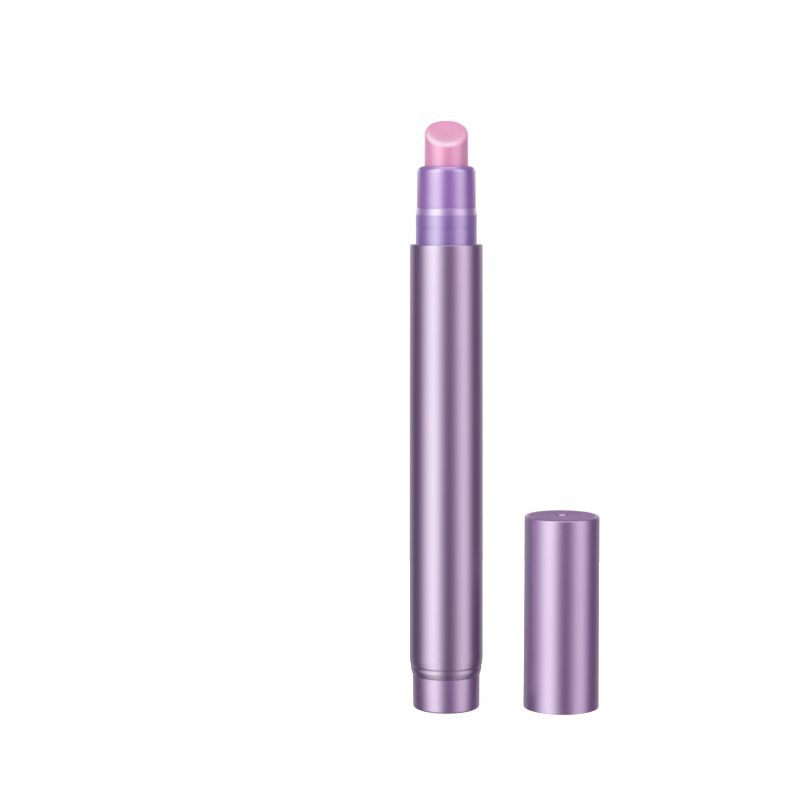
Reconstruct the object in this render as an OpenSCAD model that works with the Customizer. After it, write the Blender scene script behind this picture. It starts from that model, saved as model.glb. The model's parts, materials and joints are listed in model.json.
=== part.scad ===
// Twist-up nail oil pen, standing on its knob, with its cap off and stood open end down beside it.
// Millimetres. The pen's axis is Z, its foot is at zero, and the slanted face of the nib looks to -Y.
// Turning the knob turns a keyed rod, which climbs through a fixed nut and pushes the piston up.

/* [Knob] */
// Height of the knob's cover
knob_h = 5.95; // [4.5:0.05:9]
// Wall of the knob's core outside the drive sleeve's keys
knob_core_wall = 0.61; // [0.5:0.02:1]
// Wall and floor of the knob's cover
knob_wall = 0.7; // [0.5:0.05:1]
// How much wider the cover is at its rim than at its foot
knob_flare = 0.07; // [0:0.01:0.1]
// Rounding of the knob's foot
knob_edge_r = 0.5; // [0.2:0.05:0.7]
// Floor of the knob's core
knob_core_floor = 0.5; // [0.4:0.05:1]
// Height of the core's spigot above the cover, inside the barrel's lip
knob_spigot_h = 1.1; // [0.5:0.1:1.5]
// Gap between the knob and the barrel's foot
knob_seam = 0.15; // [0.1:0.01:0.3]

/* [Barrel] */
// Wall of the barrel's shell near its foot
barrel_wall = 0.62; // [0.5:0.01:0.9]
// How much thinner the shell's wall is at its top
barrel_draft = 0.18; // [0:0.01:0.2]
// Height of the tapered foot
taper_h = 3.2; // [2:0.1:5]
// Radius lost over the tapered foot
taper_drop = 0.43; // [0.2:0.01:0.45]
// How fast the taper turns in towards the foot
taper_power = 1.6; // [1.2:0.1:2.5]
// Height of the fine line round the taper, above the barrel's foot
line_up = 1.7; // [1:0.1:1.9]
// Clearance of the lip at the barrel's foot round the knob's core
lip_gap = 0.15; // [0.1:0.01:0.3]
// Height of the lip
lip_h = 2; // [1.8:0.1:3]
// Rounding of the shell's top rim
barrel_rim_r = 0.22; // [0.1:0.01:0.35]

/* [Drive] */
// Length of the piston's travel, from full to empty
stroke = 30; // [20:1:40]
// Wall of the drive sleeve's tube outside its slots
slot_wall = 0.52; // [0.4:0.02:0.8]
// How much wider the sleeve's shaft is than its tube
shaft_step = 0.3; // [0.2:0.05:0.5]
// Height of the bearing bush
bush_h = 3; // [2:0.1:4]
// How much smaller the thrust flange is than the reservoir
thrust_room = 0.28; // [0.15:0.01:0.5]
// Thickness of the thrust flange
thrust_t = 1; // [0.8:0.1:1.5]
// Web that closes the sleeve's foot
sleeve_web = 0.5; // [0.4:0.1:1]
// Height of the keys that hold the sleeve in the knob's core
shaft_key_h = 3.5; // [2:0.1:4]
// How far those keys stand out of the shaft
shaft_key_depth = 0.35; // [0.2:0.05:0.4]
// Width of each key
key_w = 1; // [0.8:0.1:1.2]

/* [Ratchet] */
// Clicks in one turn of the knob
clicks = 12; // [12:2:14]
// Depth of the ratchet's teeth
tooth_depth = 0.4; // [0.3:0.01:0.5]
// Wall of the ratchet ring outside its teeth
ratchet_wall = 0.48; // [0.4:0.01:0.8]
// Height of the ratchet ring
ratchet_h = 3; // [2.5:0.1:4]
// Free height above the pawls
pawl_head_room = 0.36; // [0.2:0.02:0.6]
// Thickness of the pawl ring's hub
pawl_hub_t = 0.33; // [0.25:0.01:0.4]
// Thickness of a pawl's arm
pawl_arm_t = 0.3; // [0.25:0.01:0.35]
// Room between the hub and an arm, for the arm to bend into
pawl_room = 0.37; // [0.3:0.01:0.5]
// Height of the ratchet ring's lugs, in notches of the reservoir's foot
lug_h = 1; // [0.6:0.1:1.5]
// Width of the lugs
lug_w = 2; // [1.5:0.1:3]

/* [Screw] */
// Travel of the rod for each turn of the knob
lead = 2.5; // [2.3:0.1:3]
// Radius over the rod's thread
thread_r = 2.5; // [2.2:0.05:3.2]
// Depth of the thread
thread_depth = 0.6; // [0.5:0.05:0.7]
// Width of the thread's crest
crest_w = 0.75; // [0.6:0.05:0.9]
// Height of each flank along the rod
flank_w = 0.35; // [0.3:0.05:0.4]
// Clearance between the rod's thread and the nut's
thread_gap = 0.14; // [0.12:0.01:0.16]
// Height of the rod's keyed foot
rod_foot_h = 2; // [1.5:0.1:3]
// How far the foot's two wings reach past the thread
wing_reach = 0.8; // [0.6:0.05:1]
// Width of the wings
wing_w = 1.4; // [1:0.1:1.5]
// How much thinner the rod is under its head than at the thread's root
rod_neck_step = 0.4; // [0.2:0.05:0.6]
// How far the rod's round head stands out past that
rod_head_lip = 0.7; // [0.4:0.05:0.9]
// Height of the head
rod_head_h = 2.4; // [2:0.1:3]
// Length of the rod between thread and head
rod_neck_h = 2.2; // [2:0.1:2.5]
// Height of the nut
nut_h = 4.5; // [3.5:0.1:6]
// How far the nut's bead and ribs stand out into the reservoir's wall
nut_bead = 0.2; // [0.1:0.05:0.3]
// Height of the bead
nut_bead_h = 0.8; // [0.6:0.1:1]
// Height of the ribs that keep the nut from turning
nut_rib_h = 1.2; // [0.8:0.1:1.3]

/* [Reservoir] */
// Wall of the reservoir's tube
tank_wall = 0.78; // [0.6:0.01:1]
// Height of the piston
piston_h = 7; // [6.5:0.1:10]
// Height of each of the piston's two lips
lip_band_h = 1.1; // [0.8:0.1:1.8]
// How far the piston is waisted between its lips
piston_waist = 0.45; // [0.2:0.05:0.6]

/* [Neck] */
// Length of the plug in the reservoir
plug_h = 5.46; // [4:0.02:7]
// Wall of the plug behind the O-ring's groove
plug_wall = 0.62; // [0.5:0.02:1]
// Radius of the O-ring's section
seal_r = 0.42; // [0.35:0.01:0.45]
// Height of the O-ring's middle above the plug's foot
seal_up = 2.3; // [1.5:0.1:3]
// Thickness of the flange on the reservoir's end
neck_flange_t = 0.7; // [0.5:0.1:1]
// How much smaller the collar that grips the cap is than the reservoir
collar_step = 0.57; // [0.4:0.01:0.7]
// Height of the collar
collar_h = 5.1; // [4:0.1:7]
// Height of the fine groove round the collar, above the flange
collar_groove_up = 3.05; // [2:0.05:3.5]
// Height of the sloped shoulder above the collar
shoulder_h = 1.2; // [0.8:0.1:2]
// Width of that shoulder
shoulder_w = 0.16; // [0.1:0.01:0.2]
// Height of the spigot inside the nib's sleeve
spigot_h = 1.5; // [1:0.1:2]
// Solid web between the plug's bore and the spigot's top
neck_web = 4; // [3:0.1:5]
// Height of the nib's sleeve
nib_sleeve_h = 7.25; // [6:0.05:9]
// Wall of the sleeve round the spigot
nib_sleeve_wall = 0.79; // [0.6:0.01:1]
// Radius lost by the sleeve from its foot to its top
nib_sleeve_draft = 0.07; // [0:0.01:0.1]
// Rounding of the sleeve's top edge
nib_sleeve_edge = 0.85; // [0.3:0.05:1]

/* [Nib] */
// Width of the ledge that holds the nib in its sleeve
nib_lip = 0.49; // [0.35:0.01:0.6]
// Wall of the soft nib round the core's stem
nib_wall = 1.79; // [1.5:0.01:2.1]
// Radius lost by the nib towards its tip
nib_draft = 0.07; // [0:0.01:0.15]
// Height of the nib above its sleeve
nib_reach = 8.05; // [6:0.05:10]
// Height of the slanted face, from its low edge to the tip
face_h = 4.75; // [3:0.05:4.9]
// Slope of the face, in degrees
face_tilt = 33; // [25:1:40]
// Width of the rim round the face
nib_rim = 0.5; // [0.3:0.05:0.8]
// Depth of the dish in the face
dish_depth = 0.35; // [0.1:0.05:0.5]
// Thickness of the flange that traps the nib
nib_flange_t = 1.28; // [1:0.02:1.6]
// Thickness of the core's flange
core_flange_t = 0.88; // [0.6:0.02:1.2]
// Length of the core's stem
core_stem_h = 6; // [5:0.1:7]
// Bore of the feed tube
feed_bore_r = 0.4; // [0.3:0.05:0.5]
// Wall of the feed tube
feed_wall = 0.4; // [0.3:0.05:0.6]
// Radius of the outlet in the nib's face
pore_r = 0.15; // [0.1:0.01:0.3]
// How far the feed tube dips below the web
feed_dip = 2; // [1:0.1:4]
// How far the feed tube rises above the core's stem
feed_rise = 2; // [1:0.1:2.5]

/* [Cap] */
// Distance of the cap's axis from the pen's
cap_x = 20.5; // [16:0.5:40]
// Height of the cap
cap_h = 34.45; // [31:0.05:45]
// Wall of the cap's shell at its rim
cap_wall = 0.8; // [0.6:0.05:1.2]
// How much thinner the wall is at the closed end
cap_draft = 0.1; // [0:0.01:0.2]
// Thickness of the closed end
cap_top_t = 1; // [0.8:0.1:2]
// Rounding of the edge at the closed end
cap_edge_r = 0.28; // [0.1:0.01:0.5]
// Radius of the dimple in the middle of the closed end
dimple_r = 1.15; // [0.8:0.05:2]
// Depth of the dimple
dimple_depth = 0.2; // [0.1:0.05:0.4]
// Gap between the liner's mouth and the cap's rim
liner_inset = 0.3; // [0.2:0.05:0.6]
// Clearance of the liner's bore round the neck's collar
mouth_gap = 0.06; // [0.04:0.01:0.08]
// Wall of the liner round that bore
liner_mouth_wall = 0.52; // [0.4:0.01:0.8]
// Clearance of the nib's chamber round the nib
nib_room = 0.36; // [0.3:0.01:0.5]
// Free space above the nib, and above its sleeve, with the cap on
head_room = 0.6; // [0.3:0.1:1]
// Wall of the liner round the nib's chamber
liner_wall = 0.8; // [0.6:0.05:1]
// Number of centring fins round the liner
fins = 6; // [4:1:8]
// Width of each fin
fin_w = 0.8; // [0.6:0.1:1]
// Height of the fins
fin_h = 6; // [3:0.5:7]

/* [Fits] */
// Gap between pieces that are bonded or pressed together
fixed_gap = 0.02; // [0.02:0.01:0.03]
// Gap between pieces that turn or slide on each other
run_gap = 0.08; // [0.06:0.01:0.1]

/* [Hidden] */
$fn = 96;

// How far cutting shapes run past what they cut
cut = 1;
// Steps of a rounded edge and of the tapered foot
edge_steps = 6;
taper_steps = 10;
// Sides of the thread's turns, and turns made beyond each end before they are trimmed
thread_sides = 20;
spare_turns = 2;

// Heights up the pen's axis, from the foot
core_z = knob_wall + fixed_gap;
sleeve_z = core_z + knob_core_floor + fixed_gap;
sleeve_bore_z = sleeve_z + sleeve_web;
rod_gap = 0.18;
rod_z = sleeve_bore_z + rod_gap;
shell_z = knob_h + knob_seam;
lip_z = shell_z + lip_h;
bush_z = lip_z + fixed_gap;
thrust_z = bush_z + bush_h + run_gap;
thrust_top_z = thrust_z + thrust_t;
pawl_z = thrust_top_z + fixed_gap;
ratchet_z = thrust_top_z + run_gap;
ratchet_top_z = ratchet_z + ratchet_h;
tank_z = ratchet_top_z + fixed_gap;
wing_top_z = rod_z + rod_foot_h;
sleeve_top_z = wing_top_z + stroke;
nut_z = sleeve_top_z + rod_gap;
nut_top_z = nut_z + nut_h;
piston_gap = 0.3;
piston_z = nut_top_z + piston_gap;
piston_top_z = piston_z + piston_h;
plug_z = piston_top_z + stroke + piston_gap;
tank_top_z = plug_z + plug_h;
neck_flange_z = tank_top_z + fixed_gap;
collar_z = neck_flange_z + neck_flange_t;
shoulder_z = collar_z + collar_h;
spigot_z = shoulder_z + shoulder_h;
spigot_top_z = spigot_z + spigot_h;
web_z = spigot_top_z - neck_web;
nib_sleeve_z = spigot_z + fixed_gap;
nib_sleeve_top_z = nib_sleeve_z + nib_sleeve_h;
core_flange_z = spigot_top_z + fixed_gap;
nib_z = core_flange_z + core_flange_t + fixed_gap;
stem_top_z = nib_z + core_stem_h;
nib_seat_z = nib_z + nib_flange_t + fixed_gap;
feed_z = web_z - feed_dip;
feed_top_z = stem_top_z + feed_rise;
nib_top_z = nib_sleeve_top_z + nib_reach;
face_z = nib_top_z - face_h;

// Radii of the rod, the drive sleeve and the knob, from the screw outwards
root_r = thread_r - thread_depth;
rod_neck_r = root_r - rod_neck_step;
rod_head_r = rod_neck_r + rod_head_lip;
wing_r = thread_r + wing_reach;
sleeve_bore_r = thread_r + run_gap;
sleeve_tube_r = wing_r + run_gap + slot_wall;
shaft_r = sleeve_tube_r + shaft_step;
knob_core_r = shaft_r + shaft_key_depth + fixed_gap + knob_core_wall;
knob_r = knob_core_r + fixed_gap + knob_wall;

// Radii of the ratchet, the reservoir and the barrel round the sleeve's tube
pawl_gap = 0.08;
pawl_hub_r = sleeve_tube_r + fixed_gap + pawl_hub_t;
tooth_tip_r = pawl_hub_r + pawl_room + pawl_arm_t + pawl_gap;
tooth_root_r = tooth_tip_r + tooth_depth;
tank_r = tooth_root_r + ratchet_wall;
thrust_r = tank_r - thrust_room;
tank_bore_r = tank_r - tank_wall;
nut_r = tank_bore_r - fixed_gap;
piston_r = tank_bore_r - run_gap;
lip_bore_r = knob_core_r + lip_gap;
shell_bore_r = tank_r + fixed_gap;
barrel_r = shell_bore_r + barrel_wall;
line_depth = 0.05;
line_w = 0.12;
foot_edge_r = 0.1;

// Radii of the neck, the nib and the cap, from the reservoir inwards and then out again
seal_mid_r = nut_r - seal_r;
seal_floor_r = seal_mid_r - seal_r - fixed_gap;
plug_bore_r = seal_floor_r - plug_wall;
collar_r = tank_r - collar_step;
nib_sleeve_r = collar_r - shoulder_w - fixed_gap;
nib_sleeve_bore_r = nib_sleeve_r - nib_sleeve_wall;
spigot_r = nib_sleeve_bore_r - fixed_gap;
nib_r = spigot_r - nib_lip;
nib_mouth_r = nib_r + run_gap;
nib_tip_r = nib_r - nib_draft;
core_stem_r = nib_r - nib_wall;
feed_r = feed_bore_r + feed_wall;
liner_bore_r = collar_r + mouth_gap;
liner_r = liner_bore_r + liner_mouth_wall;
cap_r = liner_r + fixed_gap + cap_wall;
gate_r = 0.3;
gate_h = 0.12;

// Heights inside the cap, from its rim, which seats on the barrel's top rim
liner_bore_top_z = nib_sleeve_top_z - collar_z + head_room;
nib_room_top_z = nib_top_z - collar_z + head_room;
liner_top_z = nib_room_top_z + liner_wall;

// The pawls, and the angles along one of them, in degrees from a tooth's steep face
pawl_count = 2;
pawl_h = ratchet_top_z - pawl_head_room - pawl_z;
pawl_back_r = tooth_tip_r - pawl_gap;
pawl_tip_angle = 1;
pawl_crest_angle = 3;
pawl_heel_angle = 11;
pawl_root_angle = 76;
pawl_pad_angle = 104;
pawl_step_angle = 4;
pawl_key_r = pawl_hub_r + pawl_arm_t;
pawl_key_angle = (pawl_root_angle + pawl_pad_angle) / 2;

metallic = "#8c7696";
tinted = "#a98bc4";
moulded = "#e9e6ee";
clear = "#f2f0f6";
steel_grey = "#8f8f96";
pink = "#e8a2c4";

function on_circle(r, angle) = [r * cos(angle), r * sin(angle)];

// Points of a rounded corner, about its centre, from one angle to another
function corner(centre, r, from, to) =
    [for (i = [0 : edge_steps]) centre + on_circle(r, from + (to - from) * i / edge_steps)];

// Radius of the tapered foot, where share runs from 0 at the barrel's foot to 1 where the taper ends
function taper_r(share) = barrel_r - taper_drop * pow(1 - share, taper_power);

// One turn of the thread in the plane through the axis, root, crest and root again
function thread_turn(root, crest, width) =
    [[root, lead / 2 - width / 2 - flank_w],
     [crest, lead / 2 - width / 2],
     [crest, lead / 2 + width / 2],
     [root, lead / 2 + width / 2 + flank_w]];

// A ring of bars from the axis outwards, for keys, slots, ribs and fins
module bars(count, reach, width, height, turn = 0) {
    for (i = [0 : count - 1])
        rotate([0, 0, turn + i * 360 / count])
            translate([0, -width / 2, 0])
                cube([reach, width, height]);
}

module ring(outer, inner, height) {
    difference() {
        cylinder(r = outer, h = height);
        translate([0, 0, -cut])
            cylinder(r = inner, h = height + 2 * cut);
    }
}

// A right-hand screw between two heights. Each meridian stands a share of the lead above the one before it,
// so that the last one meets the first a whole turn higher.
module screw(root, crest, width, low_z, high_z) {
    turn = thread_turn(root, crest, width);
    marks = len(turn);
    first = floor(low_z / lead) - spare_turns;
    turns = ceil(high_z / lead) + spare_turns - first;
    last = marks * turns - 1;
    count = last + 1;
    points = [for (s = [0 : thread_sides - 1], t = [first : first + turns - 1], p = turn)
        [p[0] * cos(s * 360 / thread_sides), p[0] * sin(s * 360 / thread_sides),
         p[1] + lead * (t + s / thread_sides)]];
    foot = len(points);
    top = foot + 1;
    end = (thread_sides - 1) * count;
    sides = [for (s = [0 : thread_sides - 2], i = [0 : last - 1])
        each [[s * count + i, s * count + i + 1, (s + 1) * count + i + 1],
              [s * count + i, (s + 1) * count + i + 1, (s + 1) * count + i]]];
    closing = [for (i = [0 : last - 1 - marks])
        each [[end + i, end + i + 1, i + 1 + marks], [end + i, i + 1 + marks, i + marks]]];
    foot_fan = concat(
        [for (s = [0 : thread_sides - 2]) [foot, s * count, (s + 1) * count]],
        [[foot, end, marks]],
        [for (i = [0 : marks - 1]) [foot, i + 1, i]]);
    top_fan = concat(
        [for (s = [0 : thread_sides - 2]) [top, (s + 1) * count + last, s * count + last]],
        [[top, last, end + last - marks]],
        [for (i = [last - marks : last - 1]) [top, end + i, end + i + 1]]);
    intersection() {
        polyhedron(points = concat(points, [[0, 0, points[0][2]], [0, 0, points[end + last][2]]]),
                   faces = concat(sides, closing, foot_fan, top_fan));
        translate([0, 0, low_z])
            cylinder(r = 2 * crest, h = high_z - low_z);
    }
}

module knob_cover() {
    color(metallic)
        difference() {
            rotate_extrude()
                polygon(concat(
                    [[0, 0]],
                    corner([knob_r - knob_edge_r, knob_edge_r], knob_edge_r, -90, 0),
                    [[knob_r + knob_flare, knob_h], [0, knob_h]]));
            translate([0, 0, knob_wall])
                cylinder(r = knob_core_r + fixed_gap, h = knob_h);
        }
}

module knob_core() {
    color(moulded)
        translate([0, 0, core_z])
            difference() {
                cylinder(r = knob_core_r, h = knob_h + knob_spigot_h - core_z);
                translate([0, 0, knob_core_floor])
                    cylinder(r = shaft_r + fixed_gap, h = knob_h + knob_spigot_h);
                translate([0, 0, knob_core_floor])
                    bars(4, shaft_r + shaft_key_depth + fixed_gap, key_w + 2 * fixed_gap,
                         shaft_key_h + 2 * fixed_gap);
            }
}

module barrel_shell() {
    top_r = barrel_r - barrel_draft;
    line_share = line_up / taper_h;
    color(metallic)
        difference() {
            rotate_extrude()
                polygon(concat(
                    [[lip_bore_r, shell_z]],
                    corner([taper_r(0) - foot_edge_r, shell_z + foot_edge_r], foot_edge_r, -90, 0),
                    [for (i = [1 : taper_steps])
                        [taper_r(i / taper_steps), shell_z + taper_h * i / taper_steps]],
                    corner([top_r - barrel_rim_r, collar_z - barrel_rim_r], barrel_rim_r, 0, 90),
                    [[shell_bore_r, collar_z], [shell_bore_r, lip_z], [lip_bore_r, lip_z]]));
            translate([0, 0, shell_z + line_up - line_w / 2])
                ring(barrel_r + cut, taper_r(line_share) - line_depth, line_w);
        }
}

module end_bush() {
    color(moulded)
        translate([0, 0, bush_z])
            ring(tank_r, shaft_r + run_gap, bush_h);
}

module drive_sleeve() {
    color(clear)
        difference() {
            union() {
                translate([0, 0, sleeve_z])
                    cylinder(r = shaft_r, h = thrust_z - sleeve_z);
                translate([0, 0, sleeve_z])
                    bars(4, shaft_r + shaft_key_depth, key_w, shaft_key_h);
                translate([0, 0, thrust_z])
                    cylinder(r = thrust_r, h = thrust_t);
                translate([0, 0, thrust_top_z])
                    cylinder(r = sleeve_tube_r, h = sleeve_top_z - thrust_top_z);
                translate([0, 0, thrust_top_z])
                    bars(pawl_count, pawl_key_r, key_w, pawl_h, pawl_key_angle);
            }
            translate([0, 0, sleeve_bore_z])
                cylinder(r = sleeve_bore_r, h = sleeve_top_z);
            translate([0, 0, sleeve_bore_z])
                bars(2, wing_r + run_gap, wing_w + 2 * run_gap, sleeve_top_z);
        }
}

// Radius of a tooth's sloped face, at an angle from its steep one
function tooth_face_r(angle) =
    tooth_root_r * tooth_tip_r * sin(360 / clicks)
        / (tooth_root_r * sin(angle) + tooth_tip_r * sin(360 / clicks - angle));

// Outline of one springy arm, from its tip behind a tooth's steep face to the pad that carries it
function pawl_outline() = concat(
    [for (a = [pawl_tip_angle, pawl_crest_angle]) on_circle(tooth_face_r(a) - pawl_gap, a)],
    [for (a = [pawl_heel_angle : pawl_step_angle : pawl_pad_angle]) on_circle(pawl_back_r, a)],
    [on_circle(pawl_back_r, pawl_pad_angle), on_circle(sleeve_tube_r, pawl_pad_angle)],
    [on_circle(sleeve_tube_r, pawl_root_angle)],
    [for (a = [pawl_root_angle : -pawl_step_angle : pawl_tip_angle])
        on_circle(pawl_back_r - pawl_arm_t, a)]);

module pawl_ring() {
    color(moulded)
        translate([0, 0, pawl_z])
            linear_extrude(pawl_h)
                difference() {
                    union() {
                        circle(r = pawl_hub_r);
                        for (i = [0 : pawl_count - 1])
                            rotate(i * 360 / pawl_count)
                                polygon(pawl_outline());
                    }
                    circle(r = sleeve_tube_r + fixed_gap);
                    for (i = [0 : pawl_count - 1])
                        rotate(pawl_key_angle + i * 360 / pawl_count)
                            translate([0, -key_w / 2 - fixed_gap])
                                square([pawl_key_r + fixed_gap, key_w + 2 * fixed_gap]);
                }
}

module ratchet_ring() {
    color(moulded)
        translate([0, 0, ratchet_z]) {
            linear_extrude(ratchet_h)
                difference() {
                    circle(r = tank_r);
                    polygon([for (i = [0 : clicks - 1])
                        each [on_circle(tooth_tip_r, i * 360 / clicks),
                              on_circle(tooth_root_r, i * 360 / clicks)]]);
                }
            intersection() {
                ring(tank_r, tooth_root_r + fixed_gap, ratchet_h + lug_h);
                translate([-tank_r, -lug_w / 2, ratchet_h / 2])
                    cube([2 * tank_r, lug_w, ratchet_h / 2 + lug_h]);
            }
        }
}

module thread_nut() {
    color(moulded)
        difference() {
            translate([0, 0, nut_z])
                union() {
                    cylinder(r = nut_r, h = nut_h);
                    translate([0, 0, nut_h / 2])
                        cylinder(r = nut_r + nut_bead, h = nut_bead_h);
                    bars(4, nut_r + nut_bead, key_w, nut_rib_h, 45);
                }
            screw(root_r + thread_gap, thread_r + thread_gap, crest_w + 2 * thread_gap,
                  nut_z - cut, nut_top_z + cut);
        }
}

module screw_rod() {
    thread_top_z = piston_z - rod_gap;
    head_z = thread_top_z + rod_neck_h;
    color(steel_grey)
        union() {
            screw(root_r, thread_r, crest_w, wing_top_z - rod_gap, thread_top_z);
            translate([0, 0, rod_z])
                cylinder(r = rod_neck_r, h = rod_foot_h + rod_gap);
            translate([-wing_r, -wing_w / 2, rod_z])
                cube([2 * wing_r, wing_w, rod_foot_h]);
            translate([0, 0, thread_top_z - rod_gap])
                cylinder(r = rod_neck_r, h = rod_neck_h + 2 * rod_gap);
            translate([0, 0, head_z])
                cylinder(r1 = rod_head_r, r2 = rod_neck_r, h = rod_head_h);
        }
}

module piston() {
    socket_z = piston_z - rod_gap + rod_neck_h - run_gap;
    waist_r = piston_r - piston_waist;
    color(clear)
        difference() {
            rotate_extrude()
                polygon([
                    [0, piston_z],
                    [piston_r, piston_z],
                    [piston_r, piston_z + lip_band_h],
                    [waist_r, piston_z + lip_band_h + piston_waist],
                    [waist_r, piston_top_z - lip_band_h - piston_waist],
                    [piston_r, piston_top_z - lip_band_h],
                    [piston_r, piston_top_z],
                    [waist_r, piston_top_z],
                    [0, piston_top_z - piston_waist]]);
            translate([0, 0, piston_z - cut])
                cylinder(r = rod_neck_r + run_gap, h = piston_h / 2);
            translate([0, 0, socket_z])
                cylinder(r = rod_head_r + run_gap, h = rod_head_h + 2 * run_gap);
        }
}

module reservoir_tube() {
    color(clear)
        difference() {
            translate([0, 0, tank_z])
                ring(tank_r, tank_bore_r, tank_top_z - tank_z);
            translate([0, 0, nut_z + nut_h / 2 - fixed_gap])
                cylinder(r = nut_r + nut_bead + fixed_gap, h = nut_bead_h + 2 * fixed_gap);
            translate([0, 0, tank_z - cut])
                bars(4, nut_r + nut_bead + fixed_gap, key_w + 2 * fixed_gap,
                     nut_z + nut_rib_h + fixed_gap - tank_z + cut, 45);
            translate([-tank_r - cut, -lug_w / 2 - fixed_gap, tank_z - cut])
                cube([2 * (tank_r + cut), lug_w + 2 * fixed_gap, lug_h + cut]);
        }
}

module neck() {
    seal_z = plug_z + seal_up;
    color(tinted)
        difference() {
            rotate_extrude()
                polygon([
                    [0, plug_z],
                    [nut_r, plug_z],
                    [nut_r, seal_z - seal_r - fixed_gap],
                    [seal_floor_r, seal_z - seal_r - fixed_gap],
                    [seal_floor_r, seal_z + seal_r + fixed_gap],
                    [nut_r, seal_z + seal_r + fixed_gap],
                    [nut_r, neck_flange_z],
                    [tank_r, neck_flange_z],
                    [tank_r, collar_z],
                    [collar_r, collar_z],
                    [collar_r, collar_z + collar_groove_up - line_w / 2],
                    [collar_r - line_depth, collar_z + collar_groove_up],
                    [collar_r, collar_z + collar_groove_up + line_w / 2],
                    [collar_r, shoulder_z],
                    [collar_r - shoulder_w, spigot_z],
                    [spigot_r, spigot_z],
                    [spigot_r, spigot_top_z],
                    [0, spigot_top_z]]);
            translate([0, 0, plug_z - cut])
                cylinder(r = plug_bore_r, h = web_z - plug_z + cut);
            translate([0, 0, web_z - cut])
                cylinder(r = feed_r + fixed_gap, h = neck_web + 2 * cut);
        }
}

module neck_seal() {
    color("#3c3a40")
        translate([0, 0, plug_z + seal_up])
            rotate_extrude()
                translate([seal_mid_r, 0])
                    circle(r = seal_r);
}

module nib_sleeve() {
    top_r = nib_sleeve_r - nib_sleeve_draft;
    color(tinted)
        rotate_extrude()
            polygon(concat(
                [[nib_sleeve_bore_r, nib_sleeve_z], [nib_sleeve_r, nib_sleeve_z]],
                corner([top_r - nib_sleeve_edge, nib_sleeve_top_z - nib_sleeve_edge],
                       nib_sleeve_edge, 0, 90),
                [[nib_mouth_r, nib_sleeve_top_z],
                 [nib_mouth_r, nib_seat_z],
                 [nib_sleeve_bore_r, nib_seat_z]]));
}

module nib_core() {
    color(moulded)
        difference() {
            union() {
                translate([0, 0, core_flange_z])
                    cylinder(r = spigot_r, h = core_flange_t);
                translate([0, 0, core_flange_z])
                    cylinder(r = core_stem_r, h = stem_top_z - core_flange_z);
            }
            translate([0, 0, core_flange_z - cut])
                cylinder(r = feed_r + fixed_gap, h = stem_top_z - core_flange_z + 2 * cut);
        }
}

module feed_tube() {
    color(clear)
        translate([0, 0, feed_z])
            ring(feed_r, feed_bore_r, feed_top_z - feed_z);
}

// Everything above the slanted face, lowered by a given drop
module above_face(drop) {
    reach = 4 * nib_r;
    translate([0, -nib_tip_r, face_z - drop])
        rotate([face_tilt, 0, 0])
            translate([-reach / 2, -reach / 2, 0])
                cube(reach);
}

module nib() {
    color(pink)
        difference() {
            union() {
                translate([0, 0, nib_z])
                    cylinder(r = spigot_r, h = nib_flange_t);
                translate([0, 0, nib_z])
                    cylinder(r1 = nib_r, r2 = nib_tip_r, h = nib_top_z - nib_z);
            }
            above_face(0);
            intersection() {
                translate([0, 0, stem_top_z])
                    cylinder(r = nib_tip_r - nib_rim, h = nib_top_z - stem_top_z + cut);
                above_face(dish_depth / cos(face_tilt));
            }
            translate([0, 0, nib_z - cut])
                cylinder(r = core_stem_r + fixed_gap, h = stem_top_z - nib_z + cut + fixed_gap);
            translate([0, 0, stem_top_z])
                cylinder(r = feed_r + fixed_gap, h = feed_rise + fixed_gap);
            translate([0, 0, stem_top_z])
                cylinder(r = pore_r, h = nib_top_z - stem_top_z);
        }
}

module cap_shell() {
    top_r = cap_r - cap_draft;
    color(metallic)
        translate([cap_x, 0, 0]) {
            difference() {
                rotate_extrude()
                    polygon(concat(
                        [[0, 0], [cap_r, 0]],
                        corner([top_r - cap_edge_r, cap_h - cap_edge_r], cap_edge_r, 0, 90),
                        [[0, cap_h]]));
                translate([0, 0, -cut])
                    cylinder(r = liner_r + fixed_gap, h = cap_h - cap_top_t + cut);
                translate([0, 0, cap_h - dimple_depth])
                    cylinder(r = dimple_r, h = dimple_depth + cut);
            }
            translate([0, 0, cap_h - cap_top_t / 2])
                cylinder(r = gate_r, h = cap_top_t / 2 - dimple_depth + gate_h);
        }
}

module cap_liner() {
    inner_r = nib_r + nib_room;
    step_z = liner_bore_top_z + liner_wall;
    color(clear)
        translate([cap_x, 0, 0])
            difference() {
                union() {
                    translate([0, 0, liner_inset])
                        cylinder(r = liner_r, h = step_z - liner_inset);
                    translate([0, 0, liner_inset])
                        cylinder(r = inner_r + liner_wall, h = liner_top_z - liner_inset);
                    translate([0, 0, step_z - liner_wall / 2])
                        bars(fins, liner_r, fin_w, fin_h);
                }
                translate([0, 0, -cut])
                    cylinder(r = liner_bore_r, h = liner_bore_top_z + cut);
                translate([0, 0, -cut])
                    cylinder(r = inner_r, h = nib_room_top_z + cut);
            }
}

knob_cover();
knob_core();
barrel_shell();
end_bush();
drive_sleeve();
pawl_ring();
ratchet_ring();
thread_nut();
screw_rod();
piston();
reservoir_tube();
neck();
neck_seal();
nib_sleeve();
nib_core();
feed_tube();
nib();
cap_shell();
cap_liner();
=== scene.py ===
"""Looks of a twist-up nail oil pen, stood on its knob with its cap beside it.

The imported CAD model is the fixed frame. The pieces that show are turned again here with their true edges,
grooves and moulded marks, and the pieces inside keep their CAD shapes. Sizes in the classes are millimetres,
but the studio's are metres, as every mesh's are.
"""

from __future__ import annotations

import json
import logging
import math
from dataclasses import dataclass
from enum import Enum
from typing import Sequence

import bpy
from mathutils import Matrix, Vector


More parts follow.
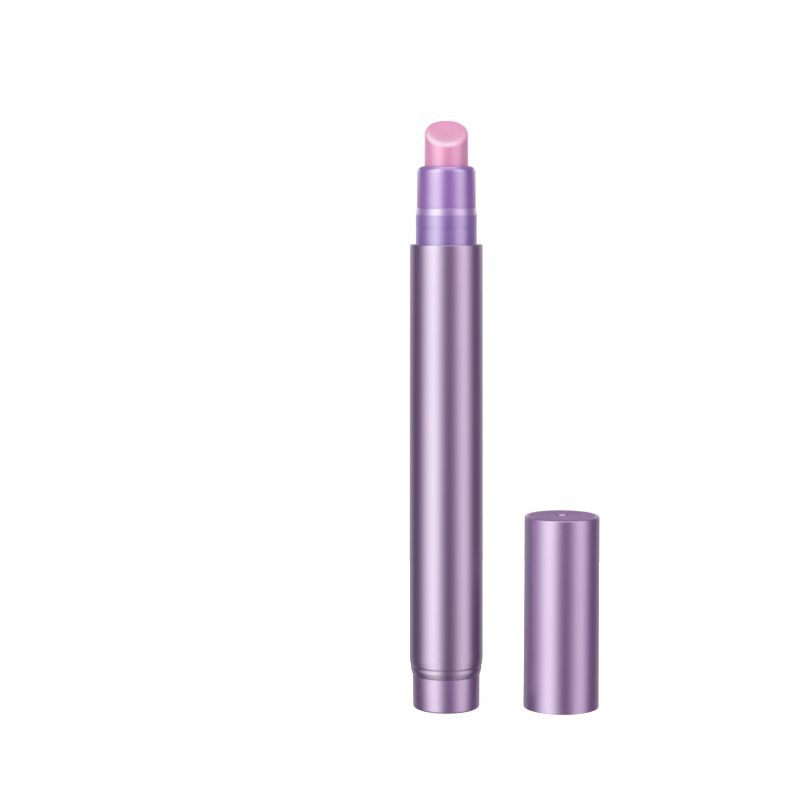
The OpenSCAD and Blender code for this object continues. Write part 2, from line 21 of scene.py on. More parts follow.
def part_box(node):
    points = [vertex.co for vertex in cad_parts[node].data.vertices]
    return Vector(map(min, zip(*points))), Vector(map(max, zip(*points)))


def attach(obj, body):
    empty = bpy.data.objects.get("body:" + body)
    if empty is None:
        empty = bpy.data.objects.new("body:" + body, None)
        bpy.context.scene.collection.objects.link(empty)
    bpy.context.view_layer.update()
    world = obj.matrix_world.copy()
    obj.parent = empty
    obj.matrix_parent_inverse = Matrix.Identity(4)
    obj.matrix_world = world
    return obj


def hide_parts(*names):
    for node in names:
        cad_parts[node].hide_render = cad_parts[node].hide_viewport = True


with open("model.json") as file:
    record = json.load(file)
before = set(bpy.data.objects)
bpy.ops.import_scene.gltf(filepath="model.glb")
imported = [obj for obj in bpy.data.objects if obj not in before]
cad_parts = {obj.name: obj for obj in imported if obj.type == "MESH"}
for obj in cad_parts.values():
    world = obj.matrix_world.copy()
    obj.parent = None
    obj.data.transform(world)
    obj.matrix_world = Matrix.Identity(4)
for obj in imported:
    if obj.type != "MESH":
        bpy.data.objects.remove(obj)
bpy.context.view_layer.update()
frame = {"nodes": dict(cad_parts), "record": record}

MM = 0.001
TURN_STEPS = 128
FILLET_STEPS = 7
WELD_GAP = 0.002
SMOOTH_ANGLE = math.radians(32)
# Sockets of the Mix node for colours, which shares its socket names with other kinds of value.
MIX_SHARE, MIX_LOW, MIX_HIGH, MIX_RESULT = 0, 6, 7, 2
Triple = tuple[float, float, float]
Rgb = Triple
Band = tuple[float, float]
EVEN: Triple = (1.0, 1.0, 1.0)
WHITE: Rgb = (1.0, 1.0, 1.0)
log = logging.getLogger("nail_oil_pen")


class Slot(Enum):
    """The material slots of the record that the pieces take their finish from."""

    METALLISED = "metallised"
    WHITE_MOULDING = "white_moulding"
    NATURAL_MOULDING = "natural_moulding"
    ACETAL = "acetal"
    ROD_GREY = "rod_grey"
    TINTED_NECK = "tinted_neck"
    SEAL_RUBBER = "seal_rubber"
    PINK_SILICONE = "pink_silicone"


class Body(Enum):
    """The bodies that the new pieces ride on."""

    BARREL = "barrel"
    KNOB = "knob"
    CAP = "cap"


def scaled(band: Band, size: float) -> Band:
    """Turns a band of shares into a band of lengths.

    Args:
        band: Its two ends, as shares of the size.
        size: The size.

    Returns:
        The band's two ends.
    """
    return band[0] * size, band[1] * size


def in_radians(band: Band) -> Band:
    """A band of bearings, from degrees."""
    return math.radians(band[0]), math.radians(band[1])


# Shader trees


class Signal:
    """A number in a shader tree. Python's operators on it add Math nodes."""

    def __init__(self, tree: "NodeTree", socket: bpy.types.NodeSocket) -> None:
        """Wraps an output socket.

        Args:
            tree: The tree that the socket is in.
            socket: The output socket that carries the number.
        """
        self.tree = tree
        self.socket = socket

    def _math(self, operation: str, first: "Signal | float", second: "Signal | float") -> "Signal":
        """Adds one Math node.

        Args:
            operation: Blender's name of the operation.
            first: The first value.
            second: The second value.

        Returns:
            The result.
        """
        node = self.tree.add("ShaderNodeMath", {"operation": operation}, {0: first, 1: second})
        return Signal(self.tree, node.outputs[0])

    def __add__(self, other: "Signal | float") -> "Signal":
        """Sum."""
        return self._math("ADD", self, other)

    def __radd__(self, other: float) -> "Signal":
        """Sum with a plain number before it."""
        return self._math("ADD", other, self)

    def __sub__(self, other: "Signal | float") -> "Signal":
        """Difference."""
        return self._math("SUBTRACT", self, other)

    def __rsub__(self, other: float) -> "Signal":
        """Difference from a plain number."""
        return self._math("SUBTRACT", other, self)

    def __mul__(self, other: "Signal | float") -> "Signal":
        """Product."""
        return self._math("MULTIPLY", self, other)

    def __rmul__(self, other: float) -> "Signal":
        """Product with a plain number before it."""
        return self._math("MULTIPLY", other, self)

    def __abs__(self) -> "Signal":
        """Size without its sign."""
        return self._math("ABSOLUTE", self, 0.0)

    def root(self) -> "Signal":
        """Square root."""
        return self._math("SQRT", self, 0.0)

    def larger(self, other: "Signal | float") -> "Signal":
        """The larger of this number and another."""
        return self._math("MAXIMUM", self, other)

    def bearing(self, ahead: "Signal") -> "Signal":
        """The angle of this number against another, as of a direction's two parts."""
        return self._math("ARCTAN2", self, ahead)

    def ramp(self, low: float, high: float, start: float = 0.0, end: float = 1.0) -> "Signal":
        """Runs smoothly from one value to another as this number rises.

        Args:
            low: Where the result starts to change.
            high: Where it has changed.
            start: The result below low.
            end: The result above high.

        Returns:
            The smoothed number.
        """
        node = self.tree.add(
            "ShaderNodeMapRange",
            {"interpolation_type": "SMOOTHSTEP"},
            {"Value": self, "From Min": low, "From Max": high, "To Min": start, "To Max": end},
        )
        return Signal(self.tree, node.outputs[0])


class NodeTree:
    """A shader tree that nodes are added to in one way."""

    def __init__(self, tree: bpy.types.NodeTree) -> None:
        """Empties the tree.

        Args:
            tree: A material's tree or the world's.
        """
        self.tree = tree
        self.tree.nodes.clear()

    def add(
        self, kind: str, settings: dict[str, object] | None = None, inputs: dict[str | int, object] | None = None
    ) -> bpy.types.Node:
        """Adds a node.

        Args:
            kind: The node's type.
            settings: Its properties, set before its sockets.
            inputs: The value or link of each socket, by name or number.

        Returns:
            The node.
        """
        node = self.tree.nodes.new(kind)
        for name, value in (settings or {}).items():
            setattr(node, name, value)
        for name, value in (inputs or {}).items():
            source = value.socket if isinstance(value, Signal) else value
            if isinstance(source, bpy.types.NodeSocket):
                self.tree.links.new(source, node.inputs[name])
            else:
                node.inputs[name].default_value = source
        return node

    def blend_colours(self, share: Signal, low: Rgb | bpy.types.NodeSocket, high: Rgb) -> bpy.types.NodeSocket:
        """Mixes two colours.

        Args:
            share: Share of the second colour.
            low: The first colour.
            high: The second colour.

        Returns:
            The mixed colour.
        """
        first = low if isinstance(low, bpy.types.NodeSocket) else (*low, 1.0)
        inputs = {MIX_SHARE: share, MIX_LOW: first, MIX_HIGH: (*high, 1.0)}
        return self.add("ShaderNodeMix", {"data_type": "RGBA"}, inputs).outputs[MIX_RESULT]


class Recipe(NodeTree):
    """One material: a Principled shader and what feeds it, in the object's own coordinates."""

    def __init__(self, name: str) -> None:
        """Makes the material.

        Args:
            name: The material's name.
        """
        self.material = bpy.data.materials.new(name)
        self.material.use_nodes = True
        super().__init__(self.material.node_tree)
        self.place = self.add("ShaderNodeTexCoord").outputs["Object"]

    def noise(self, size: float, detail: float, stretch: Triple = EVEN) -> Signal:
        """A soft noise.

        Args:
            size: Rough size of its spots, in millimetres.
            detail: How many finer layers lie on it.
            stretch: How much longer the spots are along each axis.

        Returns:
            A number round a half.
        """
        at = self.add("ShaderNodeMapping", {}, {"Vector": self.place, "Scale": tuple(1 / s for s in stretch)})
        node = self.add(
            "ShaderNodeTexNoise", {}, {"Vector": at.outputs[0], "Scale": 1 / (size * MM), "Detail": detail}
        )
        return Signal(self, node.outputs["Fac"])

    def spot(self) -> tuple[Signal, Signal, Signal]:
        """The place across, along and up the object, in millimetres."""
        node = self.add("ShaderNodeSeparateXYZ", {}, {0: self.place})
        across, along, up = (Signal(self, node.outputs[axis]) * (1 / MM) for axis in "XYZ")
        return across, along, up

    def height(self) -> Signal:
        """Height above the table, in millimetres."""
        return self.spot()[2]

    def bump(self, height: Signal, strength: float, depth: float) -> bpy.types.NodeSocket:
        """Turns a number into a relief.

        Args:
            height: The relief, from 0 to 1.
            strength: Share of it that shows.
            depth: Its depth, in millimetres.

        Returns:
            The bumped normal.
        """
        node = self.add("ShaderNodeBump", {}, {"Strength": strength, "Distance": depth * MM, "Height": height})
        return node.outputs[0]

    def close(self, **inputs: object) -> bpy.types.Material:
        """Adds the shader.

        Args:
            **inputs: The shader's sockets, with _ for a space.

        Returns:
            The finished material.
        """
        named = {name.replace("_", " "): value for name, value in inputs.items()}
        shader = self.add("ShaderNodeBsdfPrincipled", {}, named)
        self.add("ShaderNodeOutputMaterial", {}, {"Surface": shader.outputs[0]})
        return self.material


# Finishes


@dataclass(frozen=True)
class MetallisedLacquer:
    """Vacuum-metallised plastic under a lilac pearl lacquer: satin, with a fine flake and slight rub on its edges."""

    colour: Rgb = (0.42, 0.245, 0.505)
    deep: Rgb = (0.39, 0.22, 0.475)
    rubbed: Rgb = (0.60, 0.50, 0.66)
    metal: float = 0.85
    roughness: float = 0.50
    pearl_index: float = 3.6
    pearl_roughness: float = 0.22
    cloud_size: float = 9.0
    cloud_stretch: Triple = (1.0, 1.0, 4.0)
    cloud_band: Band = (0.3, 0.7)
    cloud_roughness: float = 0.03
    flake_size: float = 0.09
    flake_roughness: float = 0.05
    flake_relief: float = 0.25
    ripple_size: float = 1.6
    ripple_relief: float = 0.75
    relief_share: float = 0.35
    relief_depth: float = 0.003
    rub_reach: float = 0.35
    rub_size: float = 0.5
    rub_band: Band = (0.5, 0.66)
    rub_share: float = 0.5
    matt_pearl: float = 0.1
    matt_run: float = 0.01

    def make(self, name: str, edges: Sequence[float], matt_from: float | None = None) -> bpy.types.Material:
        """Makes the material.

        Args:
            name: The material's name.
            edges: Heights of the edges that fingers rub, in millimetres.
            matt_from: Height above which the pearl is thin, for a closed end that is matt.

        Returns:
            The material.
        """
        recipe = Recipe(name)
        cloud = recipe.noise(self.cloud_size, detail=1.0, stretch=self.cloud_stretch).ramp(*self.cloud_band)
        flake = recipe.noise(self.flake_size, detail=0.0)
        colour = recipe.blend_colours(cloud, self.colour, self.deep)
        rub: Signal | None = None
        for edge in edges:
            near = abs(recipe.height() - edge).ramp(0.0, self.rub_reach, 1.0, 0.0)
            rub = near if rub is None else rub.larger(near)
        if rub is not None:
            rub = rub * recipe.noise(self.rub_size, detail=3.0).ramp(*self.rub_band) * self.rub_share
            colour = recipe.blend_colours(rub, colour, self.rubbed)
        roughness = self.roughness + self.flake_roughness * flake + self.cloud_roughness * cloud
        relief = self.ripple_relief * recipe.noise(self.ripple_size, detail=1.0) + self.flake_relief * flake
        pearl: Signal | float = 1.0
        if matt_from is not None:
            pearl = recipe.height().ramp(matt_from - self.matt_run, matt_from, 1.0, self.matt_pearl)
        return recipe.close(
            Base_Color=colour,
            Metallic=self.metal,
            Roughness=roughness,
            Normal=recipe.bump(relief, self.relief_share, self.relief_depth),
            Coat_Weight=pearl,
            Coat_Roughness=self.pearl_roughness,
            Coat_IOR=self.pearl_index,
        )


@dataclass(frozen=True)
class TintedGloss:
    """Violet moulding with a metallised gloss, bluer towards its foot, and a painted highlight round its shoulder.

    The colour turns, and the ring lies, between two heights above the table, in millimetres.
    """

    upper: Rgb = (0.43, 0.208, 0.645)
    lower: Rgb = (0.335, 0.188, 0.575)
    turn: Band = (86.0, 90.0)
    # The ring's colour is a painted highlight: paler violet, standing in for the light that the shoulder's chamfer
    # catches.
    ring: Rgb = (0.62, 0.45, 0.80)
    ring_low: float = 87.48
    ring_high: float = 88.7
    ring_blur: float = 0.06
    ring_highlight_share: float = 0.45
    ring_gloss: float = 0.12
    flow: Rgb = (0.60, 0.42, 0.76)
    flow_size: float = 5.0
    flow_stretch: Triple = (1.0, 1.0, 3.0)
    flow_band: Band = (0.35, 0.75)
    flow_share: float = 0.1
    flow_roughness: float = 0.03
    roughness: float = 0.5
    ripple_size: float = 1.8
    ripple_share: float = 0.25
    ripple_depth: float = 0.003
    gloss_roughness: float = 0.16
    gloss_index: float = 2.82
    metal: float = 0.12

    def make(self, name: str) -> bpy.types.Material:
        """Makes the material.

        Args:
            name: The material's name.

        Returns:
            The material.
        """
        recipe = Recipe(name)
        colour = recipe.blend_colours(recipe.height().ramp(*self.turn), self.lower, self.upper)
        flow = recipe.noise(self.flow_size, detail=2.0, stretch=self.flow_stretch)
        colour = recipe.blend_colours(flow.ramp(*self.flow_band, 0.0, self.flow_share), colour, self.flow)
        # Painted highlight: a band round the shoulder, where the colour is mixed towards the paler ring colour.
        blur = self.ring_blur
        ring = recipe.height().ramp(self.ring_low - blur, self.ring_low + blur)
        ring = ring * recipe.height().ramp(self.ring_high - blur, self.ring_high + blur, 1.0, 0.0)
        colour = recipe.blend_colours(self.ring_highlight_share * ring, colour, self.ring)
        return recipe.close(
            Base_Color=colour,
            Metallic=self.metal,
            Roughness=self.roughness + self.flow_roughness * flow - self.ring_gloss * ring,
            Normal=recipe.bump(recipe.noise(self.ripple_size, detail=1.0), self.ripple_share, self.ripple_depth),
            Coat_Weight=1.0,
            Coat_Roughness=self.gloss_roughness,
            Coat_IOR=self.gloss_index,
        )


@dataclass(frozen=True)
class SlantedRim:
    """Where the rim round the nib's slanted face runs, in millimetres. Its bands are shares of radius or width."""

    low: float
    slope: float
    radius: float
    width: float
    front_band: Band = (-0.5, 0.4)
    side_band: Band = (0.15, 0.95)
    side_least: float = 0.15
    fade_band: Band = (1.1, 5.5)
    crest_band: Band = (1.1, 2.1)
    crest_least: float = 0.42
    face_band: Band = (-0.8, -0.1)

    def masks(self, recipe: Recipe) -> tuple[Signal, Signal]:
        """The rim's low stretch, a thin band with a painted highlight, and the slanted face inside it.

        Args:
            recipe: The material that reads it.

        Returns:
            The rim's painted highlight, and the whole slanted face: each from 0 away from it to 1 on it.
        """
        across, along, up = recipe.spot()
        over = up - (self.low + self.slope * (along + self.radius))
        inward = self.radius - (across * across + along * along).root()
        front = along.ramp(*scaled(self.front_band, self.radius), 1.0, 0.0)
        front = front * across.ramp(*scaled(self.side_band, self.radius), 1.0, self.side_least)
        fade = inward.ramp(*scaled(self.fade_band, self.width), 1.0, 0.0)
        crest = inward.ramp(*scaled(self.crest_band, self.width), 1.0, self.crest_least)
        face = over.ramp(*scaled(self.face_band, self.width))
        return face * crest * fade * front, face


@dataclass(frozen=True)
class PinkSilicone:
    """Soft silicone: satin, a little light passes through it, with a fine moulded grain, painted light on its sides
    and a painted highlight on its rim.
    """

    colour: Rgb = (0.84, 0.33, 0.56)
    pale: Rgb = (0.87, 0.365, 0.595)
    pale_size: float = 3.0
    pale_band: Band = (0.3, 0.7)
    # Painted light: the sides get a lighter pink than the slanted face, standing in for light that falls on them.
    side: Rgb = (0.94, 0.40, 0.65)
    painted_side_light_share: float = 0.7
    # Painted highlight: a near-white pink for the crest of the face's low rim.
    rim: Rgb = (1.0, 0.74, 0.89)
    rim_highlight_share: float = 0.95
    roughness: float = 0.45
    grain_size: float = 0.12
    grain_roughness: float = 0.08
    grain_share: float = 0.3
    grain_depth: float = 0.01
    depth_weight: float = 0.75
    depth_colour: Rgb = (1.0, 0.45, 0.6)
    depth: float = 1.3
    sheen: float = 0.4
    sheen_roughness: float = 0.5
    sheen_tint: Rgb = (1.0, 0.75, 0.88)
    gloss: float = 0.7
    gloss_roughness: float = 0.32
    gloss_index: float = 2.4
    face_matt: float = 0.6

    def make(self, name: str, rim: SlantedRim) -> bpy.types.Material:
        """Makes the material.

        Args:
            name: The material's name.
            rim: Where the face's rim runs.

        Returns:
            The material.
        """
        recipe = Recipe(name)
        # near is the mask of the painted rim highlight, and face is the slanted face.
        near, face = rim.masks(recipe)
        cloud = recipe.noise(self.pale_size, detail=2.0).ramp(*self.pale_band)
        colour = recipe.blend_colours(cloud, self.colour, self.pale)
        # Painted light: everything but the slanted face is mixed towards the lighter side colour.
        colour = recipe.blend_colours(self.painted_side_light_share * (1.0 - face), colour, self.side)
        # Painted highlight: the rim's low stretch is mixed towards near-white pink, a crescent of light painted on
        # its crest.
        colour = recipe.blend_colours(self.rim_highlight_share * near, colour, self.rim)
        grain = recipe.noise(self.grain_size, detail=1.0)
        return recipe.close(
            Base_Color=colour,
            Roughness=self.roughness + self.grain_roughness * grain,
            Normal=recipe.bump(grain, self.grain_share, self.grain_depth),
            Subsurface_Weight=self.depth_weight,
            Subsurface_Radius=self.depth_colour,
            Subsurface_Scale=self.depth * MM,
            Sheen_Weight=self.sheen,
            Sheen_Roughness=self.sheen_roughness,
            Sheen_Tint=(*self.sheen_tint, 1.0),
            Coat_Weight=(1.0 - self.face_matt * face) * self.gloss + (1 - self.gloss) * near,
            Coat_Roughness=self.gloss_roughness,
            Coat_IOR=self.gloss_index,
        )


@dataclass(frozen=True)
class PlainMoulding:
    """Moulded plastic or rubber of one colour, with slight flow marks and the mould's texture."""

    colour: Rgb
    flow: Rgb
    roughness: float
    grain_depth: float = 0.006
    subsurface: float = 0.0
    depth: float = 0.6
    flow_size: float = 2.5
    flow_stretch: Triple = (1.0, 1.0, 2.5)
    flow_band: Band = (0.35, 0.7)
    grain_size: float = 0.1
    grain_roughness: float = 0.1
    grain_share: float = 0.35

    def make(self, name: str) -> bpy.types.Material:
        """Makes the material.

        Args:
            name: The material's name.

        Returns:
            The material.
        """
        recipe = Recipe(name)
        streaks = recipe.noise(self.flow_size, detail=3.0, stretch=self.flow_stretch).ramp(*self.flow_band)
        colour = recipe.blend_colours(streaks, self.colour, self.flow)
        grain = recipe.noise(self.grain_size, detail=1.0)
        return recipe.close(
            Base_Color=colour,
            Roughness=self.roughness + self.grain_roughness * grain,
            Normal=recipe.bump(grain, self.grain_share, self.grain_depth),
            Subsurface_Weight=self.subsurface,
            Subsurface_Scale=self.depth * MM,
        )


INNER_FINISHES = {
    Slot.WHITE_MOULDING: PlainMoulding((0.80, 0.78, 0.83), (0.74, 0.72, 0.78), 0.42, subsurface=0.2),
    Slot.NATURAL_MOULDING: PlainMoulding((0.84, 0.83, 0.87), (0.76, 0.75, 0.81), 0.34, subsurface=0.35),
    Slot.ACETAL: PlainMoulding((0.74, 0.73, 0.76), (0.69, 0.68, 0.71), 0.38, subsurface=0.1),
    Slot.ROD_GREY: PlainMoulding((0.30, 0.30, 0.33), (0.26, 0.26, 0.29), 0.45),
    Slot.SEAL_RUBBER: PlainMoulding((0.035, 0.034, 0.038), (0.05, 0.048, 0.052), 0.55, grain_depth=0.012),
}


# Turning


@dataclass(frozen=True)
class Corner:
    """A corner of a turned outline: its radius and height, and the fillet that rounds it, in millimetres."""

    r: float
    z: float
    fillet: float = 0.0


@dataclass(frozen=True)
class Room:
    """The room that a CAD node takes about its own upright axis, in millimetres."""

    axis: float
    radius: float
    foot: float
    top: float

    @classmethod
    def of(cls, node: str) -> "Room":
        """The room of a CAD node.

        Args:
            node: The node's name.

        Returns:
            Its room.
        """
        low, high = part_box(node)
        return cls(
            axis=(low.x + high.x) / 2 / MM, radius=(high.x - low.x) / 2 / MM, foot=low.z / MM, top=high.z / MM
        )


def rounded(corners: Sequence[Corner]) -> list[tuple[float, float]]:
    """Draws a closed outline with an arc at each corner that has a fillet.

    Args:
        corners: The corners in order.

    Returns:
        The outline's points, radius and height.
    """
    points: list[tuple[float, float]] = []
    for index, corner in enumerate(corners):
        here = Vector((corner.r, corner.z))
        if corner.fillet <= 0:
            points.append((corner.r, corner.z))
            continue
        last, following = corners[index - 1], corners[(index + 1) % len(corners)]
        back = (Vector((last.r, last.z)) - here).normalized()
        ahead = (Vector((following.r, following.z)) - here).normalized()
        half = back.angle(ahead) / 2
        centre = here + (back + ahead).normalized() * corner.fillet / math.sin(half)
        start = here + back * corner.fillet / math.tan(half) - centre
        end = here + ahead * corner.fillet / math.tan(half) - centre
        sweep = start.angle_signed(end)
        for step in range(FILLET_STEPS + 1):
            turned = Matrix.Rotation(-sweep * step / FILLET_STEPS, 2) @ start
            points.append(tuple(centre + turned))
    return points


def deselect_all() -> None:
    """Deselects everything, since the CAD nodes are selected once they are loaded."""
    bpy.ops.object.select_all(action="DESELECT")


def turn_piece(name: str, outline: Sequence[tuple[float, float]], axis: float = 0.0) -> bpy.types.Object:
    """Spins a closed outline round an upright axis.

    Args:
        name: The piece's name.
        outline: Points of the outline, radius and height in millimetres.
        axis: Where the axis stands along X, in millimetres.

    Returns:
        The piece, closed, with its faces pointing outwards.
    """
    deselect_all()
    bpy.ops.mesh.primitive_plane_add(size=MM, location=(0, 0, 0))
    piece = bpy.context.object
    piece.name = piece.data.name = name
    bpy.ops.object.mode_set(mode="EDIT")
    bpy.ops.mesh.select_all(action="SELECT")
    bpy.ops.mesh.merge(type="CENTER")
    place = Vector((0.0, 0.0, 0.0))
    for index, (r, z) in enumerate([*outline, outline[0]]):
        target = Vector((axis + r, 0.0, z)) * MM
        if index == 0:
            bpy.ops.transform.translate(value=target - place)
        else:
            bpy.ops.mesh.extrude_region_move(TRANSFORM_OT_translate={"value": target - place})
        place = target
    bpy.ops.mesh.select_all(action="SELECT")
    bpy.ops.mesh.spin(steps=TURN_STEPS, angle=math.tau, center=(axis * MM, 0, 0), axis=(0, 0, 1))
    bpy.ops.mesh.select_all(action="SELECT")
    bpy.ops.mesh.remove_doubles(threshold=WELD_GAP * MM)
    bpy.ops.mesh.normals_make_consistent(inside=False)
    bpy.ops.object.mode_set(mode="OBJECT")
    bpy.ops.object.shade_smooth_by_angle(angle=SMOOTH_ANGLE)
    return piece


def fit(piece: bpy.types.Object, body: Body, material: bpy.types.Material, node: str) -> None:
    """Dresses a new piece, seats it on its body and lets it stand for its CAD node.

    Args:
        piece: The new piece.
        body: The body that it rides on.
        material: Its material.
        node: The CAD node that it replaces.
    """
    piece.data.materials.clear()
    piece.data.materials.append(material)
    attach(piece, body.value)
    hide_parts(node)
    log.info("%s: %d vertices on %s", piece.name, len(piece.data.vertices), body.value)


# Sub-assemblies


@dataclass
class Knob:
    """The metallised cup that the fingers turn, open at its top."""

    wall: float = 0.7
    flare: float = 0.07
    foot_edge: float = 0.4
    rim_edge: float = 0.06
    rim_rise: float = 0.09
    rub_up: float = 0.3
    recess_radius: float = 3.9
    recess_depth: float = 0.18
    recess_edge: float = 0.05
    gate_radius: float = 0.5
    gate_run: float = 0.1
    gate_drop: float = 0.09

    def build(self, finish: MetallisedLacquer) -> None:
        """Turns the cup and dresses it.

        Args:
            finish: The lacquer.
        """
        room = Room.of("knob_cover")
        foot_radius = room.radius - self.flare
        inside = foot_radius - self.wall
        rim = room.top + self.rim_rise
        recess = room.foot + self.recess_depth
        outline = rounded([
            Corner(0.0, recess - self.gate_drop),
            Corner(self.gate_radius, recess - self.gate_drop),
            Corner(self.gate_radius + self.gate_run, recess),
            Corner(self.recess_radius, recess),
            Corner(self.recess_radius + self.recess_depth, room.foot, self.recess_edge),
            Corner(foot_radius, room.foot, self.foot_edge),
            Corner(room.radius, rim, self.rim_edge),
            Corner(inside, rim),
            Corner(inside, room.foot + self.wall),
            Corner(0.0, room.foot + self.wall),
        ])
        cup = turn_piece("knob_cup", outline)
        lacquer = finish.make("knob lacquer", [room.foot + self.rub_up, rim])
        fit(cup, Body.KNOB, lacquer, "knob_cover")


@dataclass
class Barrel:
    """The long metallised tube, drawn in at its foot, where a fine step sets off a narrow ring."""

    wall: float = 0.62
    draft: float = 0.18
    lip_wall: float = 0.76
    lip_height: float = 2.0
    taper_height: float = 3.2
    taper_drop: float = 0.48
    taper_power: float = 1.6
    taper_steps: int = 14
    ring_height: float = 1.55
    ring_edge: float = 0.15
    ring_turn: float = 0.95
    ring_turn_edge: float = 0.6
    ring_draft: float = 0.01
    step_height: float = 0.3
    step_width: float = 0.06
    step_edge: float = 0.2
    foot_edge: float = 0.05
    lip_edge: float = 0.08
    rim_edge: float = 0.22
    bore_edge: float = 0.06

    def _radius(self, room: Room, up: float) -> float:
        """The taper's radius.

        Args:
            room: The room of the shell.
            up: Height above the shell's foot.

        Returns:
            The radius there.
        """
        return room.radius - self.taper_drop * (1 - up / self.taper_height) ** self.taper_power

    def _outline(self, room: Room) -> list[tuple[float, float]]:
        """The tube's wall, from the lip round its foot up to the rim and down the bore.

        Args:
            room: The room of the shell.

        Returns:
            The outline's points.
        """
        bore = room.radius - self.wall
        foot_radius = self._radius(room, 0.0)
        lip_bore = foot_radius - self.lip_wall
        ring_radius = self._radius(room, self.ring_height) - self.step_width
        step_top = self.ring_height + self.step_height
        ring = [
            Corner(lip_bore, room.foot, self.lip_edge),
            Corner(foot_radius, room.foot, self.foot_edge),
            Corner(ring_radius + self.ring_draft, room.foot + self.ring_turn, self.ring_turn_edge),
            Corner(ring_radius, room.foot + self.ring_height, self.ring_edge),
            Corner(self._radius(room, step_top), room.foot + step_top, self.step_edge),
        ]
        rise = (self.taper_height - step_top) / self.taper_steps
        heights = [step_top + step * rise for step in range(1, self.taper_steps + 1)]
        taper = [Corner(self._radius(room, up), room.foot + up) for up in heights]
        top = [
            Corner(room.radius - self.draft, room.top, self.rim_edge),
            Corner(bore, room.top, self.bore_edge),
            Corner(bore, room.foot + self.lip_height),
            Corner(lip_bore, room.foot + self.lip_height),
        ]
        return rounded([*ring, *taper, *top])

    def build(self, finish: MetallisedLacquer) -> None:
        """Turns the tube and dresses it.

        Args:
            finish: The lacquer.
        """
        room = Room.of("barrel_shell")
        tube = turn_piece("barrel_tube", self._outline(room))
        fit(tube, Body.BARREL, finish.make("barrel lacquer", [room.top]), "barrel_shell")


@dataclass
class Neck:
    """The tinted collar with its plug, and the sleeve above it that holds the nib."""

    collar_radius: float = 5.31
    collar_height: float = 5.1
    flange: float = 0.7
    groove_up: float = 3.05
    groove_run: float = 0.8
    groove_step: float = 0.1
    groove_depth: float = 0.05
    shoulder_height: float = 1.2
    shoulder_width: float = 0.16
    spigot_height: float = 1.5
    spigot_radius: float = 4.32
    plug_radius: float = 5.08
    plug_bore: float = 3.6
    seal_up: float = 2.3
    seal_half: float = 0.44
    seal_floor: float = 4.22
    web: float = 4.0
    feed_bore: float = 0.82
    sleeve_wall: float = 0.79
    sleeve_lip_bore: float = 3.91
    sleeve_seat_up: float = 3.7
    sleeve_draft: float = 0.07
    sleeve_edge: float = 1.05
    sleeve_lip_edge: float = 0.1
    soft_edge: float = 0.3
    plug_edge: float = 0.15
    foot_edge: float = 0.05
    fine_edge: float = 0.04

    def _collar_outline(self, room: Room) -> list[tuple[float, float]]:
        """The collar, its shoulder and spigot, and the plug below with its groove and bore.

        Args:
            room: The room of the neck.

        Returns:
            The outline's points.
        """
        spigot_top = room.top
        spigot = spigot_top - self.spigot_height
        shoulder = spigot - self.shoulder_height
        collar = shoulder - self.collar_height
        seal = room.foot + self.seal_up
        groove = collar + self.groove_up
        return rounded([
            Corner(self.plug_bore, room.foot),
            Corner(self.plug_radius, room.foot, self.plug_edge),
            Corner(self.plug_radius, seal - self.seal_half),
            Corner(self.seal_floor, seal - self.seal_half),
            Corner(self.seal_floor, seal + self.seal_half),
            Corner(self.plug_radius, seal + self.seal_half),
            Corner(self.plug_radius, collar - self.flange),
            Corner(room.radius, collar - self.flange),
            Corner(room.radius, collar, self.foot_edge),
            Corner(self.collar_radius, collar),
            Corner(self.collar_radius, groove - self.groove_run, self.soft_edge),
            Corner(self.collar_radius - self.groove_depth, groove),
            Corner(self.collar_radius, groove + self.groove_step, self.fine_edge),
            Corner(self.collar_radius, shoulder, self.soft_edge),
            Corner(self.collar_radius - self.shoulder_width, spigot, self.fine_edge),
            Corner(self.spigot_radius, spigot),
            Corner(self.spigot_radius, spigot_top),
            Corner(self.feed_bore, spigot_top),
            Corner(self.feed_bore, spigot_top - self.web),
            Corner(self.plug_bore, spigot_top - self.web),
        ])

    def build(self, finish: TintedGloss) -> None:
        """Turns both tinted pieces and dresses them.

        Args:
            finish: The violet gloss.
        """
        tint = finish.make("violet gloss")
        collar = turn_piece("neck_collar", self._collar_outline(Room.of("neck")))
        fit(collar, Body.BARREL, tint, "neck")
        room = Room.of("nib_sleeve")
        bore = room.radius - self.sleeve_wall
        seat = room.foot + self.sleeve_seat_up
        sleeve = turn_piece("nib_collet", rounded([
            Corner(bore, room.foot),
            Corner(room.radius, room.foot, self.foot_edge),
            Corner(room.radius - self.sleeve_draft, room.top, self.sleeve_edge),
            Corner(self.sleeve_lip_bore, room.top, self.sleeve_lip_edge),
            Corner(self.sleeve_lip_bore, seat),
            Corner(bore, seat),
        ]))
        fit(sleeve, Body.BARREL, tint, "nib_sleeve")


